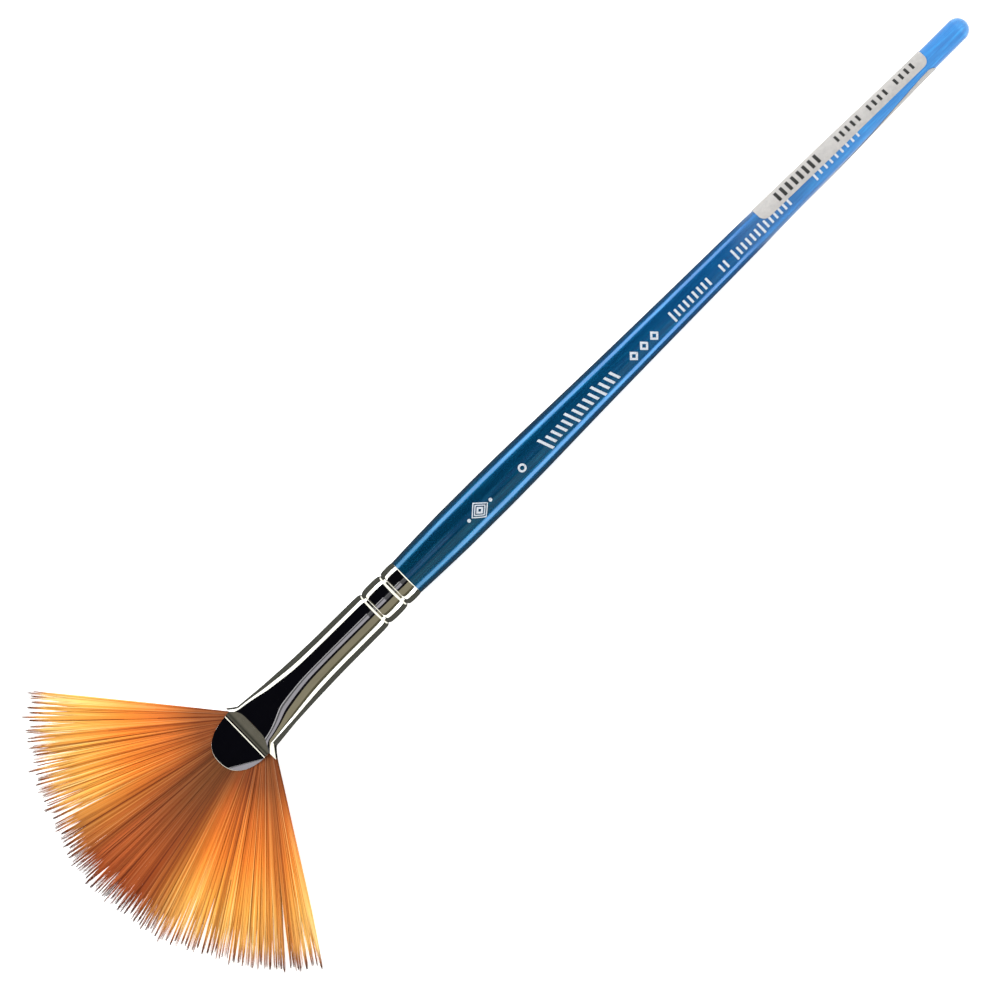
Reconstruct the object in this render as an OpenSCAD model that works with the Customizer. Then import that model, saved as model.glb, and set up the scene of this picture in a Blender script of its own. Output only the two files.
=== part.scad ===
// Fan paint brush: a turned and lacquered handle, a pressed tube ferrule and a flat fan of filaments.
// The brush lies along X with its hair towards -X and its fan flat in the XY plane.
// The origin is on the brush's axis, in the middle of the grip. Sizes are in millimetres.

/* [Handle] */
// Length of handle that shows behind the ferrule
handle_len = 132; // [100:1:180]
// Step from the ferrule's surface down to the lacquer where they meet
neck_step = 0.1; // [0:0.05:0.3]
// Largest diameter, along the grip band
grip_d = 7.7; // [7:0.1:11]
// Length of the straight grip band
grip_len = 8; // [4:0.5:12]
// Distance from the ferrule to the middle of the grip band
grip_pos = 16; // [10:0.5:30]
// Diameter of the straight stretch at the far end
tip_d = 4; // [3:0.1:6]
// Length of that stretch, its round cap included
tip_len = 10; // [6:0.5:20]
// Length of the tenon inside the ferrule
tenon_len = 15; // [11:0.5:16]

/* [Ferrule] */
// Length from the handle to the front of the rim
ferrule_len = 43.5; // [41:0.5:60]
// Outside diameter at the handle
ferrule_d = 7.2; // [6.5:0.1:9]
// Outside diameter where the tube starts to flatten
barrel_d = 7.5; // [6.8:0.1:9.6]
// Thickness of the metal
ferrule_wall = 0.35; // [0.2:0.05:0.5]
// Number of rolled crimps
crimp_count = 2; // [1:1:2]
// Distance from the handle to the first crimp
crimp_first = 2.9; // [2:0.1:4]
// Distance between crimps
crimp_pitch = 4.4; // [3:0.1:5]
// Depth of a crimp
crimp_depth = 0.35; // [0.1:0.05:0.5]
// Length of a crimp along the tube
crimp_w = 2.2; // [1:0.1:2.8]

/* [Mouth] */
// Distance from the rim over which the tube is pressed flat
press_len = 20; // [16:0.5:24]
// Width of the tube where it starts to flare to the ears
shoulder_w = 8.6; // [8:0.1:10]
// Distance from the rim to that shoulder
shoulder_pos = 8.6; // [8:0.1:10]
// Width over the two ears
mouth_w = 11.4; // [10.4:0.1:14]
// Height of the tube at the ears before the jaws press their facets
ear_h = 5.2; // [4:0.1:6.4]
// Thickness over the two lips
mouth_t = 2.6; // [2:0.1:3.4]
// Distance from the rim to the crease above each lip
crease_pos = 5.6; // [4:0.1:6.4]
// Slope of the pressed facet behind the crease
press_angle = 25; // [15:1:35]
// Width of the tongue that each lip ends in
tongue_w = 9.8; // [8:0.1:10.2]
// Length of the tongue ahead of the ears
tongue_len = 6.8; // [5:0.1:7.5]

/* [Hair] */
// Distance from the rim back to the point that the filaments fan out from
fan_back = 10.5; // [9:0.1:12]
// Radius of the fan about that point
fan_radius = 40.2; // [32:0.1:52]
// Angle that the fan covers
fan_spread = 107.6; // [60:0.2:130]
// Angle by which the fan leans to the -Y side
fan_lean = 3.4; // [-8:0.2:8]
// Thickness of the fan at its tips
hair_tip_t = 0.5; // [0.2:0.05:0.9]
// Number of locks that the free filaments are grouped in
lock_count = 16; // [4:1:24]
// Angle left open between locks
lock_gap = 0.2; // [0.1:0.05:0.4]
// Distance ahead of the rim of the line that the fan flexes about
flex_pos = 1; // [0.6:0.1:4]
// Angle that the fan flexes to either side
flex_range = 35; // [10:1:45]
// Length of the hair root's bound butt end
butt_len = 6; // [4:0.5:8]
// Radial room for epoxy around the butt end
butt_room = 0.6; // [0.5:0.05:0.9]
// Thickness of the binding thread
thread_d = 0.3; // [0.2:0.05:0.4]
// Turns of binding thread
thread_turns = 6; // [3:1:8]
// Depth of epoxy behind the butt end
epoxy_depth = 2.5; // [1:0.5:4]

/* [Label] */
// Length of the paper label along the handle
label_len = 38.6; // [20:0.2:50]
// Width of the label before it is wrapped
label_w = 11.8; // [6:0.1:12]
// Thickness of the paper
label_t = 0.1; // [0.05:0.05:0.2]
// Distance from the label to the end of the handle
label_end = 9.2; // [2:0.1:30]
// Angle from the top to the start of the label's first long edge, towards -Y
label_turn = 15; // [-90:1:90]
// Angle that this edge gains over the label's length
label_skew = 14; // [-30:1:30]

/* [Hidden] */
$fn = 96;
fit_gap = 0.02; // between pieces that touch
hair_gap = 0.05; // between the hair and the metal
glue_t = 0.08; // thickness of the glue round the tenon
flex_gap = 0.15; // between the hair's fixed root and the locks
flex_spare = 2; // degrees of back-bevel on the locks past the flex range
bevel = 0.4; // on the end of the tenon
seam = 0.01; // how far the pressed tube's end lies inside the barrel's
lap = 0.5; // length over which the hair root's solids share space
ring_sides = 72; // points round the pressed tube
far = 60; // reach of the cutting solids past the part
taper_shape = [[0, 0], [0.16, 0.19], [0.25, 0.31], [0.4, 0.45], [0.65, 0.66], [0.8, 0.77], [1, 1]];
tongue_power = 3; // roundness of the tongue's outline

neck_r = ferrule_d / 2 - neck_step;
grip_r = grip_d / 2;
tip_r = tip_d / 2;
barrel_r = barrel_d / 2;
joint_x = -grip_pos; // where the handle meets the ferrule
rim_x = joint_x - ferrule_len;
end_x = joint_x + handle_len;
fan_x = rim_x + fan_back;
flex_x = rim_x - flex_pos;
barrel_len = ferrule_len - press_len;
crimp_end = crimp_first + (crimp_count - 1) * crimp_pitch + crimp_w / 2;
grip_start = grip_pos - grip_len / 2;
grip_end = grip_pos + grip_len / 2;
taper_end = handle_len - tip_len;
butt_front = press_len - 1; // distances behind the rim
butt_back = butt_front + butt_len;
plug_back = butt_back + epoxy_depth;
butt_r = barrel_at(ferrule_len - plug_back) - ferrule_wall - butt_room;
tenon_end = min(tenon_len, ferrule_len - plug_back - bevel); // how far the tenon really reaches
hair_t = mouth_t - 2 * (ferrule_wall + hair_gap);
lock_pitch = fan_spread / lock_count;
fan_start = 180 + fan_lean - fan_spread / 2;
label_x = [end_x - label_end - label_len, end_x - label_end];

function lock_name(i) = str("hair_lock_", i < 9 ? "0" : "", i + 1);
LOCKS = [for (i = [0 : lock_count - 1]) lock_name(i)];

// ---- curves ----

function clamp01(t) = max(0, min(1, t));
function smooth(t) = let (c = clamp01(t)) c * c * (3 - 2 * c);

// Slope at point i of a curve through points p, level at both ends
function slope(p, i) =
    i == 0 || i == len(p) - 1 ? 0
    : (p[i + 1][1] - p[i - 1][1]) / (p[i + 1][0] - p[i - 1][0]);

// Height at t of the smooth curve through points p
function through(p, t, i = 0) =
    i < len(p) - 2 && t > p[i + 1][0] ? through(p, t, i + 1)
    : let (w = p[i + 1][0] - p[i][0], u = (t - p[i][0]) / w, s = smooth(u))
        p[i][1] * (1 - s) + p[i + 1][1] * s
        + w * u * (1 - u) * (slope(p, i) * (1 - u) - slope(p, i + 1) * u);

// Radius of the handle at distance d from the ferrule
function handle_r(d) =
    d <= grip_start ? neck_r + (grip_r - neck_r) * sin(90 * d / grip_start)
    : d <= grip_end ? grip_r
    : d < taper_end
        ? grip_r + (tip_r - grip_r) * through(taper_shape, (d - grip_end) / (taper_end - grip_end))
    : tip_r;

// How deep a crimp is at distance d from the handle, as a share of its full depth
function crimp(d) = max([for (i = [0 : crimp_count - 1])
    let (off = abs(d - crimp_first - i * crimp_pitch))
        off < crimp_w / 2 ? (1 + cos(360 * off / crimp_w)) / 2 : 0]);

// Distances from the handle at which to draw the tube, from `last` down to 0
function tube_stations(last) = concat([last], [for (i = [48 : -1 : 0]) crimp_end * i / 48]);

// Outside radius of the ferrule's round barrel at distance d from the handle
function barrel_at(d) =
    ferrule_d / 2 + (barrel_r - ferrule_d / 2) * d / barrel_len - crimp_depth * crimp(d);

// Half width, half height and pressed half height of the tube at distance u behind the rim
function tube_a(u) =
    barrel_r + (shoulder_w / 2 - barrel_r) * smooth((press_len - u) / (press_len - shoulder_pos))
    + (mouth_w - shoulder_w) / 2 * pow(clamp01((shoulder_pos - u) / (shoulder_pos - tongue_len)), 2);
function tube_b(u) =
    barrel_r + (ear_h / 2 - barrel_r) * smooth((press_len - u) / (press_len - tongue_len));
function press_h(u) = mouth_t / 2 + max(0, u - crease_pos) * tan(press_angle);

// One ring of points round the tube, set in from its surface
function ring(u, inset) = [for (k = [0 : ring_sides - 1])
    let (a = 360 * k / ring_sides, h = press_h(u) - inset)
        [rim_x + u,
         (tube_a(u) - inset) * cos(a),
         max(-h, min(h, (tube_b(u) - inset) * sin(a)))]];

// Distances behind the rim at which rings lie, from the barrel to the rim
press_rings = concat(
    [for (i = [0 : 7]) press_len + (shoulder_pos + 0.4 - press_len) * i / 7],
    [for (i = [1 : 5]) shoulder_pos + 0.4 + (tongue_len - shoulder_pos - 0.4) * i / 5]
);
lip_rings = [crease_pos, 0];

// ---- helpers ----

// Turns a profile of [distance along, radius] points about the brush's axis
module turned(profile) {
    rotate([0, 90, 0]) rotate_extrude() polygon([for (p = profile) [p[1], p[0]]]);
}

// Skins rings of points: round on themselves for a shell, or with flat ends for a solid
module skin(rings, shell) {
    n = len(rings);
    m = ring_sides;
    sides = [for (r = [0 : n - (shell ? 1 : 2)], k = [0 : m - 1])
        let (a = r * m, b = (r + 1) % n * m, l = (k + 1) % m)
            each [[a + l, b + k, a + k], [b + l, b + k, a + l]]];
    ends = shell ? [] : [[for (k = [m - 1 : -1 : 0]) k], [for (k = [0 : m - 1]) (n - 1) * m + k]];
    polyhedron([for (r = rings) each r], concat(sides, ends));
}

// Outline of the tongue seen from above, and everything beside it as far back as the ears
module beside_tongue() {
    reach = mouth_w;
    difference() {
        translate([rim_x - 1, -reach]) square([tongue_len + 1, 2 * reach]);
        polygon([for (a = [0 : 4 : 180])
            let (c = cos(a), s = sin(a))
                [rim_x + tongue_len * (1 - pow(s, 2 / tongue_power)),
                 tongue_w / 2 * sign(c) * pow(abs(c), 2 / tongue_power)]]);
    }
}

// Part of the fan between two angles, with its thickness falling from the rim to the tips
module fan_sector(start, angle, inner_r) {
    translate([fan_x, 0, 0]) rotate([0, 0, start]) rotate_extrude(angle = angle)
        polygon([
            [inner_r, -hair_t / 2], [fan_back, -hair_t / 2], [fan_radius, -hair_tip_t / 2],
            [fan_radius, hair_tip_t / 2], [fan_back, hair_t / 2], [inner_r, hair_t / 2]
        ]);
}

// ---- pieces ----

// The wooden handle: tenon, neck, grip band, taper and round end
module handle() {
    tenon_inset = ferrule_wall + glue_t + 2 * fit_gap;
    tenon = [for (d = tube_stations(tenon_end - bevel)) [joint_x - d, barrel_at(d) - tenon_inset]];
    step = (taper_end - grip_end) / 60;
    body = [for (d = concat(
        [for (i = [0 : 8]) grip_start * i / 8],
        [for (i = [0 : 60]) grip_end + step * i]
    )) [joint_x + d, handle_r(d)]];
    cap = [for (a = [7.5 : 7.5 : 82.5]) [end_x - tip_r + tip_r * sin(a), tip_r * cos(a)]];
    color([0.05, 0.35, 0.68]) turned(concat(
        [[joint_x - tenon_end, 0], [joint_x - tenon_end, tenon[0][1] - bevel]],
        tenon,
        body,
        [[end_x - tip_r, tip_r]],
        cap,
        [[end_x, 0]]
    ));
}

// The film of glue between the tenon and the ferrule's bore
module handle_glue() {
    outer = [for (d = tube_stations(tenon_end - bevel))
        [joint_x - d, barrel_at(d) - ferrule_wall - fit_gap]];
    inner = [for (p = outer) [p[0], p[1] - glue_t]];
    back = [for (i = [len(inner) - 1 : -1 : 0]) inner[i]];
    color([0.85, 0.75, 0.45]) turned(concat(outer, back));
}

// The tube: round and crimped behind, pressed flat at the mouth, with a tongue above and below
module ferrule() {
    outer = [for (d = tube_stations(barrel_len)) [joint_x - d, barrel_at(d)]];
    inner = [for (p = outer) [p[0], p[1] - ferrule_wall]];
    back = [for (i = [len(inner) - 1 : -1 : 0]) inner[i]];
    levels = concat(press_rings, lip_rings);
    color([0.78, 0.77, 0.72]) union() {
        turned(concat(outer, back));
        difference() {
            skin(concat(
                [for (u = levels) ring(u, seam)],
                [for (i = [len(levels) - 1 : -1 : 0]) ring(levels[i], ferrule_wall - seam)]
            ), true);
            linear_extrude(far, center = true) beside_tongue();
        }
    }
}

// The resin that holds the butt end and the thread in the barrel
module epoxy_plug() {
    front_r = barrel_r - ferrule_wall - fit_gap;
    back_r = barrel_at(ferrule_len - plug_back) - ferrule_wall - fit_gap;
    groove_r = butt_r + thread_d + 2 * fit_gap;
    front = rim_x + press_len + fit_gap;
    thread_x = rim_x + thread_front();
    color([0.8, 0.6, 0.3]) turned([
        [front, front_r], [front, butt_r + fit_gap],
        [thread_x - fit_gap, butt_r + fit_gap], [thread_x - fit_gap, groove_r],
        [thread_x + thread_turns * thread_d + fit_gap, groove_r],
        [thread_x + thread_turns * thread_d + fit_gap, butt_r + fit_gap],
        [rim_x + butt_back + fit_gap, butt_r + fit_gap], [rim_x + butt_back + fit_gap, 0],
        [rim_x + plug_back, 0], [rim_x + plug_back, back_r]
    ]);
}

// Distance behind the rim at which the thread starts
function thread_front() = (press_len + butt_back - thread_turns * thread_d) / 2;

// The thread that ties the filaments' butt end, one ring a turn
module binding_thread() {
    color("ivory") for (i = [0 : thread_turns - 1])
        translate([rim_x + thread_front() + (i + 0.5) * thread_d, 0, 0]) rotate([0, 90, 0])
            rotate_extrude() translate([butt_r + thread_d / 2 + fit_gap, 0])
                circle(d = thread_d - fit_gap, $fn = 24);
}

// The filaments from their butt end to the line that the fan flexes about
module hair_root() {
    inset = ferrule_wall + hair_gap;
    fan_front = flex_x + flex_gap;
    fan_rear = rim_x + tongue_len - hair_gap;
    color([0.62, 0.33, 0.12]) union() {
        skin([for (u = concat(press_rings, [tongue_len - lap])) ring(u, inset)], false);
        turned([
            [rim_x + press_len - lap, 0], [rim_x + press_len - lap, butt_r],
            [rim_x + butt_back, butt_r], [rim_x + butt_back, 0]
        ]);
        intersection() {
            fan_sector(fan_start, fan_spread, fan_back / 4);
            translate([fan_front, -far, -far]) cube([fan_rear - fan_front, 2 * far, 2 * far]);
        }
    }
}

// One lock of free filaments, bevelled behind so that it clears the root when it flexes
module hair_lock(i) {
    set_back = hair_t * tan(flex_range + flex_spare);
    color([0.93, 0.52, 0.16]) intersection() {
        fan_sector(
            fan_start + i * lock_pitch + lock_gap / 2,
            lock_pitch - lock_gap,
            fan_back + flex_pos / 2
        );
        rotate([90, 0, 0]) linear_extrude(2 * far, center = true) polygon([
            [flex_x, 0], [flex_x - set_back, hair_t], [flex_x - far, hair_t],
            [flex_x - far, -hair_t], [flex_x - set_back, -hair_t]
        ]);
    }
}

// The paper label, wrapped round the handle with a strip left open
module label() {
    stations = [for (i = [0 : 12]) label_x[0] + (label_x[1] - label_x[0]) * i / 12];
    inner = [for (x = stations) [x, handle_r(x - joint_x) + fit_gap]];
    outer = [for (i = [len(inner) - 1 : -1 : 0]) [inner[i][0], inner[i][1] + label_t]];
    color([0.86, 0.85, 0.84]) difference() {
        turned(concat(inner, outer));
        hull() {
            open_strip(label_x[0], label_turn);
            open_strip(label_x[1], label_turn + label_skew);
        }
    }
}

// A thin slice, at x, of the strip that the label leaves open past the angle `turn`
module open_strip(x, turn) {
    open = 360 - label_w / handle_r(x - joint_x) * 180 / PI;
    reach = 2 * grip_d;
    translate([x, 0, 0]) rotate([0, 90, 0]) rotate([0, 0, 180 - turn])
        linear_extrude(0.01, center = true)
            polygon([[0, 0], [reach, 0], [reach * cos(open), reach * sin(open)]]);
}

handle();
handle_glue();
ferrule();
epoxy_plug();
binding_thread();
hair_root();
label();
for (i = [0 : lock_count - 1]) {
    hair_lock(i);
}
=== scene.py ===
"""Looks of the fan paint brush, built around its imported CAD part.

Shapes are worked out in millimetres in the part's own frame and become metres when a mesh is made.
u is the distance behind the ferrule's rim, and an angle round the brush counts from the top towards -Y.
"""

import math

import bpy
import numpy as np
from mathutils import Matrix, Vector


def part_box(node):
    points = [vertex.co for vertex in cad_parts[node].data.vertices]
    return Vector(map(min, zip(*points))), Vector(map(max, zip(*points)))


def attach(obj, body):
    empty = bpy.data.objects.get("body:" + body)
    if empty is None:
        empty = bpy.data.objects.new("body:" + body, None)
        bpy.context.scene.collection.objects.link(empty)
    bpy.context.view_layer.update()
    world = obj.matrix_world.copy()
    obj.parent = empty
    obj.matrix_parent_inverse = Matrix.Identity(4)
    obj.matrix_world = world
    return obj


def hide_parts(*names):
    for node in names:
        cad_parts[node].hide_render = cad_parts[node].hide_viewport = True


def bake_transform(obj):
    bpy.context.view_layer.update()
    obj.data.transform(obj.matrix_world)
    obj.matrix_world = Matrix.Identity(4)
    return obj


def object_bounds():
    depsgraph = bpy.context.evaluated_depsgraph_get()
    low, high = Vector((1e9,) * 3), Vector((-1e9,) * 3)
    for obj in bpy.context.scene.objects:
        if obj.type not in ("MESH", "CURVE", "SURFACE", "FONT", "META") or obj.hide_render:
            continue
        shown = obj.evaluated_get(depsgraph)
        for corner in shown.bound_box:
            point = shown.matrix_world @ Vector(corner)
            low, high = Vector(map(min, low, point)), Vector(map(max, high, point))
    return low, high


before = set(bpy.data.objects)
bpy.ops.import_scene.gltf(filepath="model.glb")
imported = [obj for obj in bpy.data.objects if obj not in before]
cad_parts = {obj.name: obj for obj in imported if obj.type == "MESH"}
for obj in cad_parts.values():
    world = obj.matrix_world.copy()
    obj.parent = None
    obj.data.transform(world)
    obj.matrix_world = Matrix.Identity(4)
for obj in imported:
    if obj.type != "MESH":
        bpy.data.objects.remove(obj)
cad_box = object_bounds()
rng = np.random.default_rng(7)

MM = 0.001
VIEW_ROLL = math.radians(15)  # the brush is seen from a little round its -Y side
VIEW_TURN = math.radians(44.84)  # the axis runs up to the right in the picture


def node_range(node, axis=0):
    """Lowest and highest place of a CAD node along one axis, in millimetres."""
    low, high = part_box(node)
    return low[axis] / MM, high[axis] / MM


RIM_X, JOINT_X = node_range("ferrule")
TENON_X, END_X = node_range("handle")
LABEL_X0, LABEL_X1 = node_range("label")
FAN_X = RIM_X + 10.5  # the point that the filaments fan out from
EAR_U = 6.6  # how far the ears lie behind the rim
CREASE_U = 5.6  # where the tongue's flat lip meets the sloping face
PRESS_U = 27.0  # where the round barrel ends
GROOVES = (2.95, 7.45)  # distances of the crimps from the handle
END_BEAD, LAST_BEAD = 1.3, 1.7  # middle of the bead at the tube's end, and length of the one past the crimps
WALL = 0.35
SIDE_SQUARE = {1: (1.0, 1.6), -1: (0.35, 2.6)}  # how much squarer each side gets, first gently, then at the mouth
EAR_FLARE = {1: 0.65, -1: 1.15}  # how strongly each side flares at the mouth
RING = 72  # facets round a section
LIP_OUT = 0.55  # how far the tongue's middle reaches past the CAD rim
LIP_Z = 1.3  # half the thickness over the two lips
LABEL_GAP, LABEL_THICK = 0.02, 0.1
MARK_ANGLE = VIEW_ROLL + math.radians(10)  # middle of the handle's printing, round the brush
LABEL_MARK_ANGLE = VIEW_ROLL - math.radians(32)


# ---------------------------------------------------------------- curves


def smooth(t):
    t = np.clip(t, 0, 1)
    return t * t * (3 - 2 * t)


def handle_radius(x):
    """The lacquered handle's radius at x."""
    d = np.asarray(x, float) - JOINT_X
    stations = [0, 3, 6, 9, 12, 20, 28, 36, 44, 54, 66, 80, 92, 104, 114, 122, 140]
    radii = [3.5, 3.62, 3.72, 3.8, 3.85, 3.85, 3.75, 3.56, 3.37, 3.18, 2.99, 2.81, 2.61, 2.38, 2.14, 2.02, 2.0]
    return pchip(d, stations, radii)


def pchip(x, xs, ys):
    """A smooth curve through the points that never overshoots them."""
    xs, ys = np.array(xs, float), np.array(ys, float)
    step = np.diff(xs)
    rise = np.diff(ys) / step
    same = rise[1:] * rise[:-1] > 0
    slopes = np.zeros(len(xs))
    slopes[1:-1][same] = 2 * rise[1:][same] * rise[:-1][same] / (rise[1:] + rise[:-1])[same]
    slopes[0] = rise[0]
    k = np.clip(np.searchsorted(xs, x, "right") - 1, 0, len(xs) - 2)
    t = (x - xs[k]) / step[k]
    a, b = (1 - t) ** 2 * (1 + 2 * t), t * t * (3 - 2 * t)
    return ys[k] * a + ys[k + 1] * b + step[k] * t * (1 - t) * (slopes[k] * (1 - t) - slopes[k + 1] * t)


def barrel_radius(u):
    """The ferrule's outside radius where it is round; two rolled grooves leave two swollen beads."""
    d = JOINT_X - (RIM_X + u)
    from_middle = np.select(
        [d < GROOVES[0], d < GROOVES[1]],
        [(d - END_BEAD) / (GROOVES[0] - END_BEAD), (2 * d - sum(GROOVES)) / (GROOVES[1] - GROOVES[0])],
        np.clip(1 - (d - GROOVES[1]) / LAST_BEAD, 0, 1),
    )
    from_middle = np.minimum(np.abs(from_middle), 0.97)
    plain_r, growth, growth_length = 3.58, 0.14, 23.5
    swell, groove = 0.13 * from_middle**2, 0.38 * from_middle**10
    return plain_r + growth * np.clip(d / growth_length, 0, 1) - swell - groove


def half_width(u):
    """Half the flattened tube's width, before its ears."""
    widening = 0.76 * (np.clip(PRESS_U - u, 0, 22) / 17.6) ** 1.6
    return barrel_radius(np.maximum(u, PRESS_U)) + widening


def squareness(u, side):
    """The power of the section's rounded side: 2 where the tube is round, more beside the mouth."""
    gentle, at_mouth = SIDE_SQUARE[side]
    return 2 + gentle * smooth((21 - u) / 14.5) + at_mouth * smooth((14 - u) / 7.5)


def side_offset(u, side, cosine, inset=0.0):
    """How far from the axis the tube's side lies. Only its outermost part flares into an ear."""
    n = squareness(u, side)
    flare = EAR_FLARE[side] * np.clip(8.25 - u, 0, 3) ** 1.15
    return side * ((half_width(u) - inset) * cosine ** (2 / n) + flare * cosine**6)


def corner_angle(u, side, height, limit):
    """Where the rounded side meets the pressed face, as an angle, and the power of its sine there."""
    n = squareness(u, side)
    return math.asin(min(1.0, limit / height) ** (n / 2)), 2 / n


def half_height(u):
    """Half the tube's height between its sides, before its faces are pressed in."""
    return barrel_radius(np.maximum(u, PRESS_U)) - 1.3 * smooth((21.5 - u) / 15)


def press_height(u):
    """Height of the pressed faces: a flat lip, a fine ridge along the crease, then a slope."""
    slope = math.tan(math.radians(25))
    ridge = 0.22 * smooth((u - CREASE_U + 0.22) / 0.22) * np.exp(-np.maximum(u - CREASE_U, 0) / 0.6)
    return LIP_Z + slope * np.maximum(u - CREASE_U, 0) + ridge


# ---------------------------------------------------------------- meshes


def mesh_object(name, verts, faces, material, smooth_angle=None):
    """A piece from points in millimetres. Edges sharper than smooth_angle, in degrees, stay sharp."""
    mesh = bpy.data.meshes.new(name)
    mesh.from_pydata((np.asarray(verts) * MM).tolist(), [], faces)
    mesh.validate()
    mesh.update()
    if smooth_angle is not None:
        mesh.polygons.foreach_set("use_smooth", np.ones(len(mesh.polygons), bool))
        mesh.set_sharp_from_angle(angle=math.radians(smooth_angle))
    mesh.materials.append(material)
    obj = bpy.data.objects.new(name, mesh)
    bpy.context.scene.collection.objects.link(obj)
    return obj


class Builder:
    """Collects grids of points into one mesh, joining points that coincide."""

    def __init__(self):
        self.verts, self.faces, self.seen = [], [], {}

    def point(self, p):
        key = tuple(int(round(c * 2e4)) for c in p)
        if key not in self.seen:
            self.seen[key] = len(self.verts)
            self.verts.append(tuple(float(c) for c in p))
        return self.seen[key]

    def grid(self, rows, flip=False):
        ids = [[self.point(p) for p in row] for row in rows]
        for a, b in zip(ids, ids[1:]):
            for k in range(len(a) - 1):
                face = []
                for i in (a[k], a[k + 1], b[k + 1], b[k]):
                    if i not in face:
                        face.append(i)
                if len(face) > 2:
                    self.faces.append(tuple(face[::-1] if flip else face))

    def make(self, name, material, smooth_angle):
        return mesh_object(name, self.verts, self.faces, material, smooth_angle)


def turned(builder, xs, rs, sides=96):
    """Turns a profile about the brush's axis."""
    angles = np.linspace(0, 2 * math.pi, sides + 1)
    angles[-1] = 0
    builder.grid([[(x, r * math.sin(a), r * math.cos(a)) for a in angles] for x, r in zip(xs, rs)])


# ---------------------------------------------------------------- materials


def new_material(name, **values):
    """A material with one shader; values are set on that shader's own sockets."""
    mat = bpy.data.materials.new(name)
    mat.use_nodes = True
    shader = mat.node_tree.nodes["Principled BSDF"]
    for key, value in values.items():
        shader.inputs[key.replace("_", " ")].default_value = value
    return mat, mat.node_tree, shader


def node(tree, kind, **props):
    n = tree.nodes.new(kind)
    for key, value in props.items():
        setattr(n, key, value)
    return n


def object_coordinates(tree, scale):
    """Object coordinates stretched by scale, in turns per metre."""
    coords = node(tree, "ShaderNodeTexCoord")
    mapping = node(tree, "ShaderNodeMapping")
    mapping.inputs["Scale"].default_value = scale
    tree.links.new(coords.outputs["Object"], mapping.inputs["Vector"])
    return mapping.outputs["Vector"]


def noise(tree, scale, detail=3.0, rough=0.5):
    n = node(tree, "ShaderNodeTexNoise")
    n.inputs["Scale"].default_value = 1.0
    n.inputs["Detail"].default_value = detail
    n.inputs["Roughness"].default_value = rough
    tree.links.new(object_coordinates(tree, scale), n.inputs["Vector"])
    return n.outputs["Fac"]


def ramp(tree, factor, stops, interpolation="LINEAR"):
    r = node(tree, "ShaderNodeValToRGB")
    r.color_ramp.interpolation = interpolation
    while len(r.color_ramp.elements) < len(stops):
        r.color_ramp.elements.new(1.0)
    for element, (place, colour) in zip(r.color_ramp.elements, stops):
        element.position = place
        element.color = (*colour, 1.0)
    tree.links.new(factor, r.inputs["Fac"])
    return r.outputs["Color"]


def bump(tree, shader, height, strength, distance):
    b = node(tree, "ShaderNodeBump")
    b.inputs["Strength"].default_value = strength
    b.inputs["Distance"].default_value = distance
    tree.links.new(height, b.inputs["Height"])
    tree.links.new(b.outputs["Normal"], shader.inputs["Normal"])


def srgb(r, g, b):
    """Linear colour of 8-bit display values."""
    return tuple((c / 255 / 12.92) if c <= 10 else ((c / 255 + 0.055) / 1.055) ** 2.4 for c in (r, g, b))


def lacquer_material():
    """Metallic blue under a clear coat. Its base colour is darker at the front and paler towards the end: painted
    light along the handle.
    """
    mat, tree, shader = new_material(
        "pearl_blue_lacquer", Roughness=0.26, Coat_Weight=1.0, Coat_Roughness=0.07, Coat_IOR=1.6
    )
    coords = node(tree, "ShaderNodeTexCoord")
    split = node(tree, "ShaderNodeSeparateXYZ")
    tree.links.new(coords.outputs["Object"], split.inputs["Vector"])
    place = node(tree, "ShaderNodeMapRange")
    place.inputs["From Min"].default_value = JOINT_X * MM
    place.inputs["From Max"].default_value = END_X * MM
    tree.links.new(split.outputs["X"], place.inputs["Value"])
    along = place.outputs["Result"]
    # painted light: the base blue is darkest by the ferrule and pales towards the end, standing in for how the
    # handle is lit
    blue_with_painted_light = ramp(
        tree,
        along,
        [
            (0.0, (0.002, 0.172, 0.39)),
            (0.35, (0.002, 0.165, 0.43)),
            (0.6, (0.003, 0.155, 0.47)),
            (0.8, (0.008, 0.25, 0.68)),
            (1.0, (0.010, 0.27, 0.76)),
        ],
    )
    streaks = noise(tree, (160, 2600, 2600), 5.0, 0.6)
    tone = ramp(tree, streaks, [(0.3, (0.6, 0.7, 0.8)), (0.55, (1.0, 1.0, 1.0)), (0.75, (2.4, 1.6, 1.35))])
    mix = node(tree, "ShaderNodeMix", data_type="RGBA", blend_type="MULTIPLY")
    mix.inputs["Factor"].default_value = 1.0
    tree.links.new(blue_with_painted_light, mix.inputs["A"])
    tree.links.new(tone, mix.inputs["B"])
    tree.links.new(mix.outputs["Result"], shader.inputs["Base Color"])
    metal = ramp(tree, along, [(0.0, (0.9,) * 3), (0.4, (0.85,) * 3), (0.62, (0.76,) * 3), (0.82, (0.4,) * 3)])
    tree.links.new(metal, shader.inputs["Metallic"])
    bump(tree, shader, noise(tree, (9000, 9000, 9000), 2.0), 0.12, 0.00002)
    return mat


def nickel_material():
    mat, tree, shader = new_material("bright_nickel", Metallic=1.0, Roughness=0.05)
    tone = noise(tree, (300, 900, 900), 4.0)
    colour = ramp(tree, tone, [(0.3, (0.80, 0.79, 0.75)), (0.7, (0.90, 0.89, 0.86))])
    tree.links.new(colour, shader.inputs["Base Color"])
    polish = ramp(tree, noise(tree, (2500, 400, 400), 3.0), [(0.3, (0.03,) * 3), (0.8, (0.08,) * 3)])
    tree.links.new(polish, shader.inputs["Roughness"])
    bump(tree, shader, noise(tree, (1800, 1800, 1800), 2.0), 0.05, 0.00001)
    return mat


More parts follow.
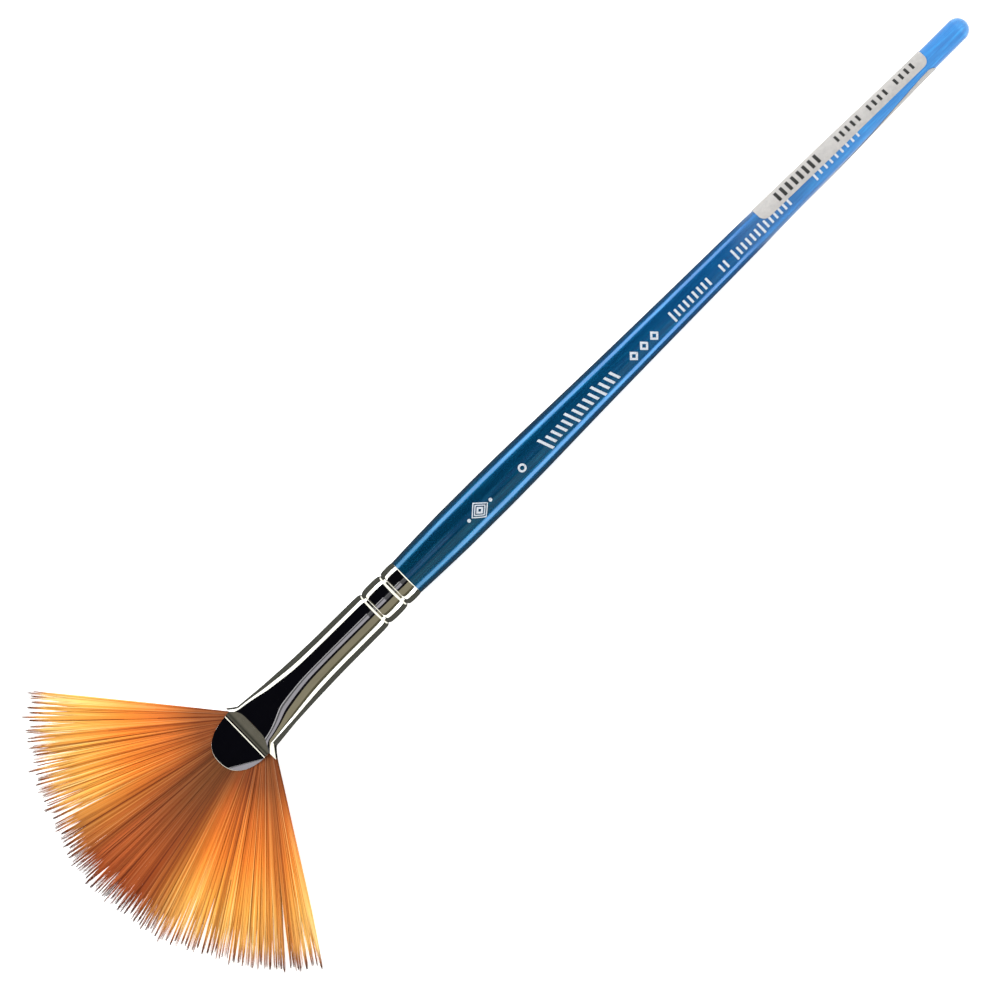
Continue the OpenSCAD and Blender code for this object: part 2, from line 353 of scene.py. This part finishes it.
def hair_material():
    """Golden filaments: brown at the root, bright to the sides, dark at the tips. The brown wedge in the fan's
    middle is painted shade, and the stored tone also carries painted backlight.
    """
    mat, tree, shader = new_material("golden_filament", Roughness=0.5, Specular_IOR_Level=0.12)

    def attribute(name):
        return node(tree, "ShaderNodeAttribute", attribute_name=name).outputs["Fac"]

    along, across, strand_tone_and_painted_light = attribute("along"), attribute("across"), attribute("strand_tone_and_painted_light")
    bright = ramp(
        tree,
        along,
        [
            (0.0, srgb(128, 66, 32)),
            (0.12, srgb(160, 84, 38)),
            (0.3, srgb(222, 118, 44)),
            (0.5, srgb(245, 139, 46)),
            (0.74, srgb(244, 166, 66)),
            (0.91, srgb(238, 176, 88)),
            (0.965, srgb(176, 104, 60)),
            (1.0, srgb(50, 28, 22)),
        ],
    )
    # painted shade: the colour of the fan's middle, where the filaments would mirror the dark space overhead
    painted_shade_brown = ramp(
        tree,
        along,
        [
            (0.0, srgb(108, 64, 32)),
            (0.3, srgb(142, 80, 40)),
            (0.7, srgb(184, 92, 40)),
            (0.9, srgb(186, 90, 40)),
            (0.97, srgb(110, 50, 28)),
            (1.0, srgb(44, 20, 14)),
        ],
    )
    # painted shade: how much each place across the fan takes the brown, fully in the middle and in a narrow
    # streak towards one edge
    middle = ramp(
        tree,
        across,
        [
            (0.0, (0.0,) * 3),
            (0.26, (0.0,) * 3),
            (0.31, (0.35,) * 3),
            (0.36, (0.7,) * 3),
            (0.42, (1.0,) * 3),
            (0.56, (1.0,) * 3),
            (0.62, (0.5,) * 3),
            (0.67, (0.0,) * 3),
            (0.86, (0.05,) * 3),
            (0.93, (0.6,) * 3),
            (0.97, (0.1,) * 3),
        ],
    )
    mix = node(tree, "ShaderNodeMix", data_type="RGBA")
    tree.links.new(middle, mix.inputs["Factor"])
    tree.links.new(bright, mix.inputs["A"])
    tree.links.new(painted_shade_brown, mix.inputs["B"])
    tint = node(tree, "ShaderNodeMix", data_type="RGBA", blend_type="MULTIPLY")
    tint.inputs["Factor"].default_value = 1.0
    tree.links.new(mix.outputs["Result"], tint.inputs["A"])
    # High values turn filaments pale yellow: partly random strand tone, partly painted backlight where the stored
    # value was raised
    tones = ramp(
        tree,
        strand_tone_and_painted_light,
        [
            (0.0, (0.3, 0.2, 0.17)),
            (0.3, (0.8, 0.7, 0.62)),
            (0.5, (1.02, 1.0, 0.95)),
            (0.75, (1.1, 1.35, 1.7)),
            (1.0, (1.15, 1.9, 4.0)),
        ],
    )
    tree.links.new(tones, tint.inputs["B"])
    tree.links.new(tint.outputs["Result"], shader.inputs["Base Color"])
    return mat


def paper_material():
    mat, tree, shader = new_material("label_paper", Roughness=0.55, Coat_Weight=0.15, Coat_Roughness=0.3)
    fibre = noise(tree, (900, 900, 900), 6.0, 0.7)
    colour = ramp(tree, fibre, [(0.3, srgb(170, 168, 167)), (0.7, srgb(192, 189, 186))])
    tree.links.new(colour, shader.inputs["Base Color"])
    bump(tree, shader, fibre, 0.08, 0.00003)
    return mat


def speckled_material(name, dark, light, scale, **values):
    """A plain material with fine mottling of the given scale, in turns per metre."""
    mat, tree, shader = new_material(name, **values)
    colour = ramp(tree, noise(tree, (scale,) * 3, 4.0), [(0.35, dark), (0.65, light)])
    tree.links.new(colour, shader.inputs["Base Color"])
    return mat


# ---------------------------------------------------------------- pieces


def make_handle(material):
    """The turned handle: a tenon with a bevel, the lacquered taper and a round end."""
    tenon_r, bevel, cap_r = 3.1, 0.4, 2.0
    xs = [TENON_X, TENON_X, TENON_X + bevel, JOINT_X, *np.linspace(JOINT_X, END_X - cap_r, 260)]
    rs = [0, tenon_r - bevel, tenon_r, tenon_r, *handle_radius(np.array(xs[4:]))]
    cap = np.linspace(0, math.pi / 2, 14)[1:]
    xs += list(END_X - cap_r + cap_r * np.sin(cap))
    rs += list(cap_r * np.cos(cap))
    b = Builder()
    turned(b, xs, rs)
    obj = b.make("handle_lacquered", material, 30)
    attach(obj, "shaft")
    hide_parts("handle")


def tube_patches(us, inset):
    """The two rounded sides and the two pressed faces of the tube, as rows of points along u."""
    side_points, face_points = 49, 41
    sides = {1: [], -1: []}
    faces = {1: [], -1: []}
    for u in us:
        height, limit = half_height(u) - inset, press_height(u) - inset
        x = RIM_X + u
        for side in (1, -1):
            corner, power = corner_angle(u, side, height, limit)
            row = []
            for a in np.linspace(-corner, corner, side_points):
                z = height * math.copysign(abs(math.sin(a)) ** power, a)
                row.append((x, side_offset(u, side, max(math.cos(a), 0.0), inset), z))
            sides[side].append(row)
        if limit < height:
            for face in (1, -1):
                last = -1 if face > 0 else 0
                left, right = sides[1][-1][last], sides[-1][-1][last]
                ys = np.linspace(left[1], right[1], face_points)
                faces[face].append([(x, y, left[2]) for y in ys])
    return sides, faces


def lip_patches(builder):
    """The tongue that each side of the mouth ends in, with a rounded rim."""
    ends = []
    for side in (1, -1):
        corner = corner_angle(EAR_U, side, half_height(EAR_U), press_height(EAR_U))[0]
        ends.append(side_offset(EAR_U, side, math.cos(corner)))
    power = 2.4
    arc = np.linspace(0, math.pi, 13)[1:-1]
    past_crease = CREASE_U - 0.4
    columns = np.concatenate([np.linspace(EAR_U, past_crease, 44), np.linspace(past_crease, -LIP_OUT, 36)[1:]])
    for face in (1, -1):
        rows = []
        for v in np.sin(np.linspace(-math.pi / 2, math.pi / 2, 81)):
            y = ends[0] * v if v > 0 else -ends[1] * v
            rim = EAR_U - (EAR_U + LIP_OUT) * max(0.0, 1 - abs(v) ** power) ** (1 / power)
            outer = np.minimum(np.maximum(columns, rim + WALL / 2), EAR_U)
            row = [(u, press_height(u) - sag(y, u)) for u in outer]
            middle = row[-1][1] - WALL / 2
            row += [(outer[-1] - WALL / 2 * math.sin(a), middle + WALL / 2 * math.cos(a)) for a in arc]
            row += [(u, press_height(u) - sag(y, u) - WALL) for u in outer[::-1]]
            rows.append([(RIM_X + u, y, face * z) for u, z in row])
        builder.grid(rows, flip=face < 0)


def sag(y, u):
    """The lip's -Y corner is bent down a little beyond a slanting line."""
    beyond = -0.514 * (u - 0.33) - 0.858 * (y + 2.16)
    return 0.3 * np.maximum(beyond, 0)


def make_ferrule(material):
    """The drawn tube with its two crimps, pressed flat and flared at the mouth."""
    b = Builder()
    length = JOINT_X - RIM_X
    fine_end, crimped = 10.4, 9.2  # the ears and the crimps are sampled more finely
    press = np.concatenate([np.linspace(EAR_U, fine_end, 60), np.linspace(fine_end, PRESS_U + 1, 36)[1:]])
    grooves = np.linspace(length - crimped, length, 150)
    us = np.concatenate([press, np.linspace(PRESS_U + 1, grooves[0], 16)[1:-1], grooves])
    outer_sides, outer_faces = tube_patches(us, 0)
    inner_sides, inner_faces = tube_patches(us, WALL)
    for side in (1, -1):
        b.grid(outer_sides[side], flip=side > 0)
        b.grid(inner_sides[side], flip=side < 0)
        b.grid(outer_faces[side], flip=side < 0)
        b.grid(inner_faces[side], flip=side > 0)
        for end in (0, -1):
            b.grid([outer_sides[side][end], inner_sides[side][end]], flip=(side > 0) == (end == 0))
    lip_patches(b)
    obj = b.make("ferrule_tube", material, 19)
    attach(obj, "shaft")
    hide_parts("ferrule")


def make_label(material):
    """A paper rectangle with round corners, wrapped from near the top over the +Y side."""
    width, corner = 11.8, 1.3
    first = math.radians(15)
    skew = math.radians(14)
    xs = np.concatenate(
        [
            LABEL_X0 + corner * (1 - np.cos(np.linspace(0, math.pi / 2, 10))),
            np.linspace(LABEL_X0 + corner, LABEL_X1 - corner, 60)[1:-1],
            LABEL_X1 - corner * (1 - np.sin(np.linspace(0, math.pi / 2, 10))),
        ]
    )
    rows_out, rows_in = [], []
    for x in xs:
        edge = min(x - LABEL_X0, LABEL_X1 - x)
        inset = corner - math.sqrt(max(0.0, corner**2 - max(0.0, corner - edge) ** 2))
        r = float(handle_radius(x)) + LABEL_GAP
        start = first + skew * (x - LABEL_X0) / (LABEL_X1 - LABEL_X0)
        angles = start - np.linspace(inset, width - inset, 90) / r
        top = r + LABEL_THICK
        rows_out.append([(x, -top * math.sin(a), top * math.cos(a)) for a in angles])
        rows_in.append([(x, -r * math.sin(a), r * math.cos(a)) for a in angles])
    b = Builder()
    b.grid(rows_out)
    b.grid(rows_in, flip=True)
    b.grid([[r[0] for r in rows_in], [r[0] for r in rows_out]])
    b.grid([[r[-1] for r in rows_out], [r[-1] for r in rows_in]])
    b.grid([rows_in[0], rows_out[0]])
    b.grid([rows_out[-1], rows_in[-1]])
    obj = b.make("label_sheet", material, 40)
    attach(obj, "shaft")
    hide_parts("label")


def bar(x, y, length, width, slant=0.0, steps=8):
    """A bar across the handle: rows of (place along the handle, distance round it)."""
    vs = np.linspace(-width / 2, width / 2, steps + 1)
    return [[(x + h * length / 2 + slant * v, y + v) for v in vs] for h in (-1, 1)]


def disc(x, y, outer, inner=0.0, sides=24, stretch=1.0):
    """A disc or ring; with 4 sides, a lozenge. Straight edges are cut short enough to follow the handle."""
    turns = np.linspace(0, sides, 24 // sides * sides + 1)
    whole, part = np.divmod(turns, 1)
    step = 2 * math.pi / sides
    across = (1 - part) * np.cos(step * whole) + part * np.cos(step * (whole + 1))
    round_it = (1 - part) * np.sin(step * whole) + part * np.sin(step * (whole + 1))
    return [
        [(x + stretch * r * a, y + r * b) for a, b in zip(across, round_it)] for r in np.linspace(inner, outer, 5)
    ]


def printed(name, marks, centre_angle, surface, thickness, material):
    """Marks laid on a turned surface, as thin slabs of ink or foil that reach a little into it."""
    b = Builder()
    sunk = -0.004
    for rows in marks:
        layers = []
        for lift in (sunk, thickness):
            layer = []
            for row in rows:
                points = []
                for x, y in row:
                    r = float(surface(x)) + lift
                    a = centre_angle + y / r
                    points.append((x, -r * math.sin(a), r * math.cos(a)))
                layer.append(points)
            layers.append(layer)
        low, high = layers
        b.grid(high, flip=True)
        b.grid(low)
        b.grid([low[0], high[0]], flip=True)
        b.grid([high[-1], low[-1]], flip=True)
        b.grid([[r[0] for r in low], [r[0] for r in high]])
        b.grid([[r[-1] for r in high], [r[-1] for r in low]])
    obj = b.make(name, material, 40)
    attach(obj, "shaft")


def handle_marks():
    """Plain ornaments: nested lozenges, a ring, slanted strokes, three lozenges and two rows of ticks."""
    emblem_x = 0.6
    marks = [disc(emblem_x, 0, outer, inner, 4, 1.1) for outer, inner in ((1.75, 1.5), (1.25, 1.0), (0.75, 0.3))]
    marks += [disc(emblem_x + s * 2.5, 0, 0.32) for s in (-1, 1)]
    marks += [disc(10.6, 0, 0.75, 0.4)]
    for k in range(14):
        tall = 2.9 if k in (0, 5, 10) else 1.9
        marks.append(bar(16.2 + 1.25 * k, 0, 0.5, tall, 0.35))
    marks += [disc(37.0 + 2.4 * k, 0, 1.0, 0.45, 4, 0.95) for k in range(3)]
    for k in range(27):
        if k in (9, 10, 13):
            continue
        tall = 2.1 if k in (0, 14, 20) else 1.5
        marks.append(bar(46.2 + 1.05 * k, 0, 0.42, tall))
    marks += [bar(79.6 + 1.25 * k, 0, 0.4, 2.0 if k == 0 else 1.4) for k in range(9)]
    return marks


def label_surface(x):
    """The label's outside radius at x."""
    return handle_radius(x) + LABEL_GAP + LABEL_THICK


def label_marks():
    """Rows of short strokes where a label carries its printing."""
    marks = [bar(LABEL_X0 + 4.6 + 1.3 * k, 0, 0.62, 2.0) for k in range(8)]
    marks += [bar(LABEL_X0 + 18.4 + 1.25 * k, 0, 0.5, 1.35) for k in range(15) if k not in (5, 10)]
    return marks


def split_fan(angle, groups, half):
    """Cuts the fan into uneven groups. Gives each filament its group, the group's middle and its own offset."""
    cuts = np.cumsum(rng.uniform(0.4, 1.6, groups + 1))
    cuts = (cuts - cuts[0]) / (cuts[-1] - cuts[0]) * 2 * half - half
    group = np.clip(np.searchsorted(cuts, angle) - 1, 0, groups - 1)
    middle = (cuts[group] + cuts[group + 1]) / 2
    return group, middle, (angle - middle) / (cuts[group + 1] - cuts[group]) * 2


def make_hair(material, count=4300, locks=58, points=132, strands=460, sides=3):
    """Filaments that run together into locks and then into sharp points, coloured strand by strand."""
    lean, half = 3.9, 55.7  # degrees that the fan leans, and that it opens to each side
    spread = rng.uniform(-1, 1, count)
    angle = np.sort(half * np.sign(spread) * np.abs(spread) ** 0.97)
    lock, lock_middle, in_lock = split_fan(angle, locks, half)
    point, point_middle, in_point = split_fan(angle, points, half)
    strand = split_fan(angle, strands, half)[0]
    level = rng.uniform(-1, 1, count)
    side = np.clip((np.abs(angle + 1) - 14) / 8, 0, 1)

    reach = 41.0 + rng.normal(0, 0.4, points)[point] - 0.8 * in_point**2
    reach += 2.4 * smooth((angle - 22) / 34) + 0.5 * smooth((-angle - 38) / 12)
    reach -= 0.6 * smooth(1 - np.abs(angle + 24) / 12)
    short = rng.random(count) < 0.08 + 0.1 * side
    reach -= np.where(short, rng.exponential(2.0, count), 0)

    t = np.array([0, 0.22, 0.46, 0.64, 0.76, 0.87, 0.95, 1.0])[None, :]
    rings = t.shape[1]
    start = 2.6 / np.cos(np.radians(angle + lean))
    r = start[:, None] + (reach - start)[:, None] * t
    free = np.clip((r - 12) / 28, 0, 1)
    lock_pull = (rng.uniform(0.0, 0.36, locks)[lock] * side)[:, None] * smooth((free - 0.35) / 0.65)
    point_pull = rng.uniform(0.7, 1.0, points)[point]
    point_pull[rng.random(count) < 0.06] = 0
    late = 0.88 - 0.11 * side[:, None]
    point_pull = point_pull[:, None] * smooth((t - late) / (1 - late))
    shift = (lock_middle - angle)[:, None] * lock_pull
    a = angle[:, None] + shift + (point_middle - angle)[:, None] * point_pull * (1 - 0.5 * lock_pull)
    a += rng.normal(0, 0.12, count)[:, None] * free**1.5 + lean
    a = np.radians(a + 180)
    thick = 0.82 - 0.56 * free
    z = level[:, None] * thick + rng.normal(0, 0.05, count)[:, None] * free
    path = np.stack([FAN_X + r * np.cos(a), r * np.sin(a), z], -1)

    width = rng.uniform(0.055, 0.08, count)[:, None] * (1 - 0.82 * smooth((t - 0.8) / 0.2))
    across = np.stack([-np.sin(a), np.cos(a), np.zeros_like(a)], -1)
    up = np.zeros_like(across)
    up[..., 2] = 1
    turn = 2 * math.pi * (np.arange(sides) + 0.25) / sides
    ring = (
        path[:, :, None]
        + width[:, :, None, None] * across[:, :, None] * np.cos(turn)[None, None, :, None]
        + width[:, :, None, None] * up[:, :, None] * np.sin(turn)[None, None, :, None]
    )
    verts = ring.reshape(-1, 3)
    base = np.arange(count)[:, None, None] * rings * sides
    i, k = np.meshgrid(np.arange(rings - 1), np.arange(sides), indexing="ij")
    quad = np.stack(
        [i * sides + k, i * sides + (k + 1) % sides, (i + 1) * sides + (k + 1) % sides, (i + 1) * sides + k], -1
    ).reshape(1, -1, 4)
    tube = (base + quad).reshape(-1, 4)
    first = np.arange(sides)[::-1][None]
    last = (rings - 1) * sides + np.arange(sides)[None]
    caps = (base + np.stack([first, last], 1)).reshape(-1, sides)
    faces = tube.tolist() + caps.tolist()
    obj = mesh_object("hair_filaments", verts, faces, material, 80)

    def store(name, values):
        layer = obj.data.attributes.new(name, "FLOAT", "POINT")
        layer.data.foreach_set("value", np.repeat(values, sides, axis=-1).astype(np.float32).ravel())

    own = 0.44 + rng.normal(0, 0.09, count)
    own += rng.normal(0, 0.18, strands)[strand] + rng.normal(0, 0.06, locks)[lock]
    # painted backlight: the edges of locks, the lower filaments that show in the gaps, and a paler zone near +20
    # degrees
    painted_backlight = 0.45 * side * np.abs(in_lock) ** 3 + np.where(level < -0.2, 0.3, 0.0) * side
    painted_backlight += 0.2 * smooth(1 - np.abs(angle - 20) / 7)
    # painted backlight: the fan's outermost filaments go pale yellow, as if lit through from behind
    edge = 0.65 * smooth((np.abs(angle) - 52) / 3)
    strand_tone_and_painted_light = own[:, None] + painted_backlight[:, None] * smooth((free - 0.2) / 0.6) * (1 - t**10)
    strand_tone_and_painted_light = strand_tone_and_painted_light + edge[:, None] * smooth(free / 0.35) * (1 - t**10)
    store("along", np.broadcast_to(np.clip((r - 8) / (reach[:, None] - 8), 0, 1), r.shape))
    store("across", np.broadcast_to((angle[:, None] + half) / (2 * half), r.shape))
    store("strand_tone_and_painted_light", np.clip(strand_tone_and_painted_light, 0, 1))
    hair_map(obj.data, count, rings, sides)
    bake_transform(obj)
    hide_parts(*(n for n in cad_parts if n.startswith("hair_lock")))


def hair_map(mesh, count, rings, sides, columns=4):
    """Lays each filament as one strip of the baking map, so that no strip is thinner than a pixel."""
    layer = mesh.uv_layers.new(name="OFBake")
    vertex = np.empty(len(mesh.loops), np.int64)
    mesh.loops.foreach_get("vertex_index", vertex)
    filament, rest = np.divmod(vertex, rings * sides)
    step, side = np.divmod(rest, sides)
    rows = -(-count // columns)
    u = (filament // rows + 0.02 + 0.96 * step / (rings - 1)) / columns
    v = (filament % rows + 0.15 + 0.7 * (side % 2)) / rows
    layer.data.foreach_set("uv", np.stack([u, v], -1).astype(np.float32).ravel())


def make_butt(material):
    """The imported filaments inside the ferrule, from the bound butt end to the mouth."""
    play = 0.06
    inset = WALL + play
    us = np.linspace(EAR_U + 0.3, PRESS_U - 1, 30)
    rows = []
    for u in us:
        height, limit = half_height(u) - inset, press_height(u) - inset
        row = []
        for a in np.linspace(0, 2 * math.pi, RING + 1):
            c, sine = math.cos(a), math.sin(a)
            side = 1 if c > 0 else -1
            z = height * math.copysign(abs(sine) ** corner_angle(u, side, height, limit)[1], sine)
            row.append((RIM_X + u, side_offset(u, side, abs(c), inset), max(-limit, min(limit, z))))
        row[-1] = row[0]
        rows.append(row)
    b = Builder()
    b.grid([[(RIM_X + us[0], 0, 0)] * (RING + 1)] + rows)
    butt_r, butt_end = 2.72, 25.0
    angles = np.linspace(0, 2 * math.pi, RING + 1)
    angles[-1] = 0
    back = [[(RIM_X + u, butt_r * math.cos(a), butt_r * math.sin(a)) for a in angles] for u in (us[-1], butt_end)]
    b.grid([rows[-1], *back, [(RIM_X + butt_end, 0, 0)] * (RING + 1)])
    obj = b.make("hair_butt", material, 40)
    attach(obj, "shaft")
    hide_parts("hair_root")


# ---------------------------------------------------------------- studio


def glowing_material(name):
    """A material that only glows. Its colour socket is left for the caller."""
    mat = bpy.data.materials.new(name)
    mat.use_nodes = True
    tree = mat.node_tree
    tree.nodes.clear()
    glow = node(tree, "ShaderNodeEmission")
    out = node(tree, "ShaderNodeOutputMaterial")
    tree.links.new(glow.outputs[0], out.inputs["Surface"])
    return mat, tree, glow.inputs["Color"]


def make_floor():
    """A pale floor that glows softly, so the brush's shadow stays faint."""
    mat = bpy.data.materials.new("pale_floor")
    mat.use_nodes = True
    shader = mat.node_tree.nodes["Principled BSDF"]
    shader.inputs["Base Color"].default_value = (0.9, 0.9, 0.9, 1)
    shader.inputs["Roughness"].default_value = 0.9
    shader.inputs["Emission Color"].default_value = (1, 1, 1, 1)
    shader.inputs["Emission Strength"].default_value = 0.62
    gap = 0.0002
    bpy.ops.mesh.primitive_plane_add(size=6, location=(0, 0, cad_box[0].z - gap))
    floor = bpy.context.object
    floor.name = "floor"
    floor.data.materials.append(mat)
    floor.visible_glossy = False


def tent_material():
    """Tones by angle round the brush. They differ beside the handle, where fewer cards show."""
    mat, tree, glow = glowing_material("studio_cards")
    coords = node(tree, "ShaderNodeTexCoord")
    split = node(tree, "ShaderNodeSeparateXYZ")
    tree.links.new(coords.outputs["Object"], split.inputs["Vector"])
    turn = node(tree, "ShaderNodeMath", operation="ARCTAN2")
    flip = node(tree, "ShaderNodeMath", operation="MULTIPLY")
    flip.inputs[1].default_value = -1
    tree.links.new(split.outputs["Y"], flip.inputs[0])
    tree.links.new(flip.outputs[0], turn.inputs[0])
    tree.links.new(split.outputs["Z"], turn.inputs[1])
    place = node(tree, "ShaderNodeMapRange")
    for key, value in (("From Min", -math.pi), ("From Max", math.pi)):
        place.inputs[key].default_value = value
    tree.links.new(turn.outputs[0], place.inputs["Value"])

    strip, black, olive = (1.7, 1.7, 1.6), (0.003, 0.003, 0.005), (0.085, 0.087, 0.075)
    beige, dark, umber = (0.27, 0.245, 0.17), (0.02, 0.021, 0.018), (0.11, 0.1, 0.06)
    glint, slate, lavender = (0.6, 0.6, 0.64), (0.12, 0.12, 0.13), (0.38, 0.37, 0.42)
    edges = [  # degrees from overhead, towards -Y, at which each tone starts
        (-180, dark),
        (-158, olive),
        (-104, dark),
        (-98, strip),
        (-74, black),
        (-14, glint),
        (-10, slate),
        (-3, lavender),
        (11, black),
        (22, beige),
        (57, umber),
        (68, dark),
        (73, strip),
        (98, dark),
        (104, olive),
        (158, dark),
    ]
    swap = {strip: (2.4, 2.5, 2.5), glint: black, lavender: (0.09, 0.09, 0.1)}
    stops = [((e + 180) / 360, c) for e, c in edges]
    beside_ferrule = ramp(tree, place.outputs[0], stops, "CONSTANT")
    beside_handle = ramp(tree, place.outputs[0], [(e, swap.get(c, c)) for e, c in stops], "CONSTANT")
    mirror_spread = 1.26  # the tent shows the brush's own lengths this much longer
    past_joint = node(tree, "ShaderNodeMath", operation="GREATER_THAN")
    past_joint.inputs[1].default_value = JOINT_X * MM * mirror_spread
    tree.links.new(split.outputs["X"], past_joint.inputs[0])
    choose = node(tree, "ShaderNodeMix", data_type="RGBA")
    tree.links.new(past_joint.outputs[0], choose.inputs["Factor"])
    tree.links.new(beside_ferrule, choose.inputs["A"])
    tree.links.new(beside_handle, choose.inputs["B"])
    tree.links.new(choose.outputs["Result"], glow)
    return mat


def make_tent():
    """Long cards round the brush that only reflections see: dark overhead, with bright strips beside it."""
    radius, front, back, sides = 300, -440, 85, 96
    angles = np.linspace(0, 2 * math.pi, sides + 1)[:-1]
    verts = [(x, radius * math.sin(a), radius * math.cos(a)) for x in (front, back) for a in angles]
    faces = [(k, (k + 1) % sides, sides + (k + 1) % sides, sides + k) for k in range(sides)]
    tent = mesh_object("studio_cards", verts, faces, tent_material())

    card, tree, glow = glowing_material("olive_card")
    olive_tone = ramp(tree, noise(tree, (14, 14, 14)), [(0.3, (0.05, 0.05, 0.04)), (0.7, (0.16, 0.15, 0.12))])
    tree.links.new(olive_tone, glow)
    inner, card_back, columns = 290, -200, 20
    turns = np.radians(np.linspace(-85, -4, columns))
    verts = [(x, -inner * math.sin(a), inner * math.cos(a)) for x in (front, card_back) for a in turns]
    faces = [(k, k + 1, columns + 1 + k, columns + k) for k in range(columns - 1)]
    olive_card = mesh_object("olive_card", verts, faces, card)

    white, tree, glow = glowing_material("white_card")
    glow.default_value = (1.35, 1.34, 1.2, 1)
    end_r, sides = 1300, 48
    angles = np.linspace(0, 2 * math.pi, sides + 1)[:-1]
    ends = []
    for x in (-800, 350):
        rim = [(x, end_r * math.sin(a), end_r * math.cos(a)) for a in angles]
        ends.append(mesh_object("end_card", rim, [tuple(range(sides))], white))
    for obj in (tent, olive_card, *ends):
        as_reflection_only(obj)


def as_reflection_only(card):
    """A studio card that mirrors show but the camera and the soft light do not."""
    card.rotation_euler = (VIEW_ROLL, 0, 0)
    for kind in ("camera", "diffuse", "transmission", "volume_scatter", "shadow"):
        setattr(card, "visible_" + kind, False)


def make_lights():
    """A white room and one soft lamp above the brush."""
    world = bpy.data.worlds.new("studio")
    bpy.context.scene.world = world
    world.use_nodes = True
    background = world.node_tree.nodes["Background"]
    background.inputs["Color"].default_value = (1, 1, 1, 1)
    background.inputs["Strength"].default_value = 0.9
    light = bpy.data.lights.new("key", "AREA")
    light.energy, light.size = 6.0, 0.8
    lamp = bpy.data.objects.new("key", light)
    lamp.location = (-0.35, 0.45, 0.8)
    lamp.rotation_euler = (-lamp.location).to_track_quat("-Z", "Y").to_euler()
    lamp.visible_glossy = False
    bpy.context.scene.collection.objects.link(lamp)


def make_camera():
    """Looks down on the fan's flat face, with the handle up to the right."""
    centre = Vector((4.2, -1.9, 0)) * MM
    frame_width, distance, sensor = 167.3 * MM, 1.15, 36.0
    cam = bpy.data.cameras.new("camera")
    cam.sensor_width = sensor
    cam.lens = sensor * distance / frame_width
    cam.clip_start, cam.clip_end = 0.05, 20
    away = Vector((0, -math.sin(VIEW_ROLL), math.cos(VIEW_ROLL)))
    side = Vector((0, math.cos(VIEW_ROLL), math.sin(VIEW_ROLL)))
    along = Vector((1, 0, 0))
    right = along * math.cos(VIEW_TURN) - side * math.sin(VIEW_TURN)
    top = along * math.sin(VIEW_TURN) + side * math.cos(VIEW_TURN)
    obj = bpy.data.objects.new("camera", cam)
    turn = Matrix((right, top, away)).transposed().to_4x4()
    obj.matrix_world = Matrix.Translation(centre + away * distance) @ turn
    bpy.context.scene.collection.objects.link(obj)
    bpy.context.scene.camera = obj
    bpy.context.scene.view_settings.view_transform = "Standard"


make_camera()
make_floor()
make_tent()
make_lights()

nickel = nickel_material()
lacquer = lacquer_material()
paper = paper_material()
foil = speckled_material(
    "silver_foil", srgb(190, 198, 210), srgb(224, 228, 236), 6000, Metallic=0.2, Roughness=0.5
)
ink = speckled_material("black_ink", (0.008, 0.008, 0.009), (0.02, 0.02, 0.022), 5000, Roughness=0.5)
glue = speckled_material("wood_glue", (0.5, 0.38, 0.16), (0.62, 0.5, 0.24), 2500, Roughness=0.35)
resin = speckled_material("epoxy", (0.4, 0.24, 0.07), (0.55, 0.35, 0.12), 1200, Roughness=0.2)
thread = speckled_material("waxed_thread", (0.62, 0.57, 0.45), (0.8, 0.76, 0.66), 9000, Roughness=0.8)
packed = speckled_material("packed_hair", srgb(92, 48, 24), srgb(150, 84, 40), 7000, Roughness=0.6)

make_handle(lacquer)
make_ferrule(nickel)
make_label(paper)
make_butt(packed)
make_hair(hair_material())
printed("foil_marks", handle_marks(), MARK_ANGLE, handle_radius, 0.012, foil)
printed("label_marks", label_marks(), LABEL_MARK_ANGLE, label_surface, 0.01, ink)

looks = {
    "handle": lacquer,
    "handle_glue": glue,
    "ferrule": nickel,
    "epoxy_plug": resin,
    "binding_thread": thread,
    "hair_root": packed,
    "label": paper,
}
for name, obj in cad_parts.items():
    obj.data.materials.clear()
    obj.data.materials.append(looks.get(name, packed))
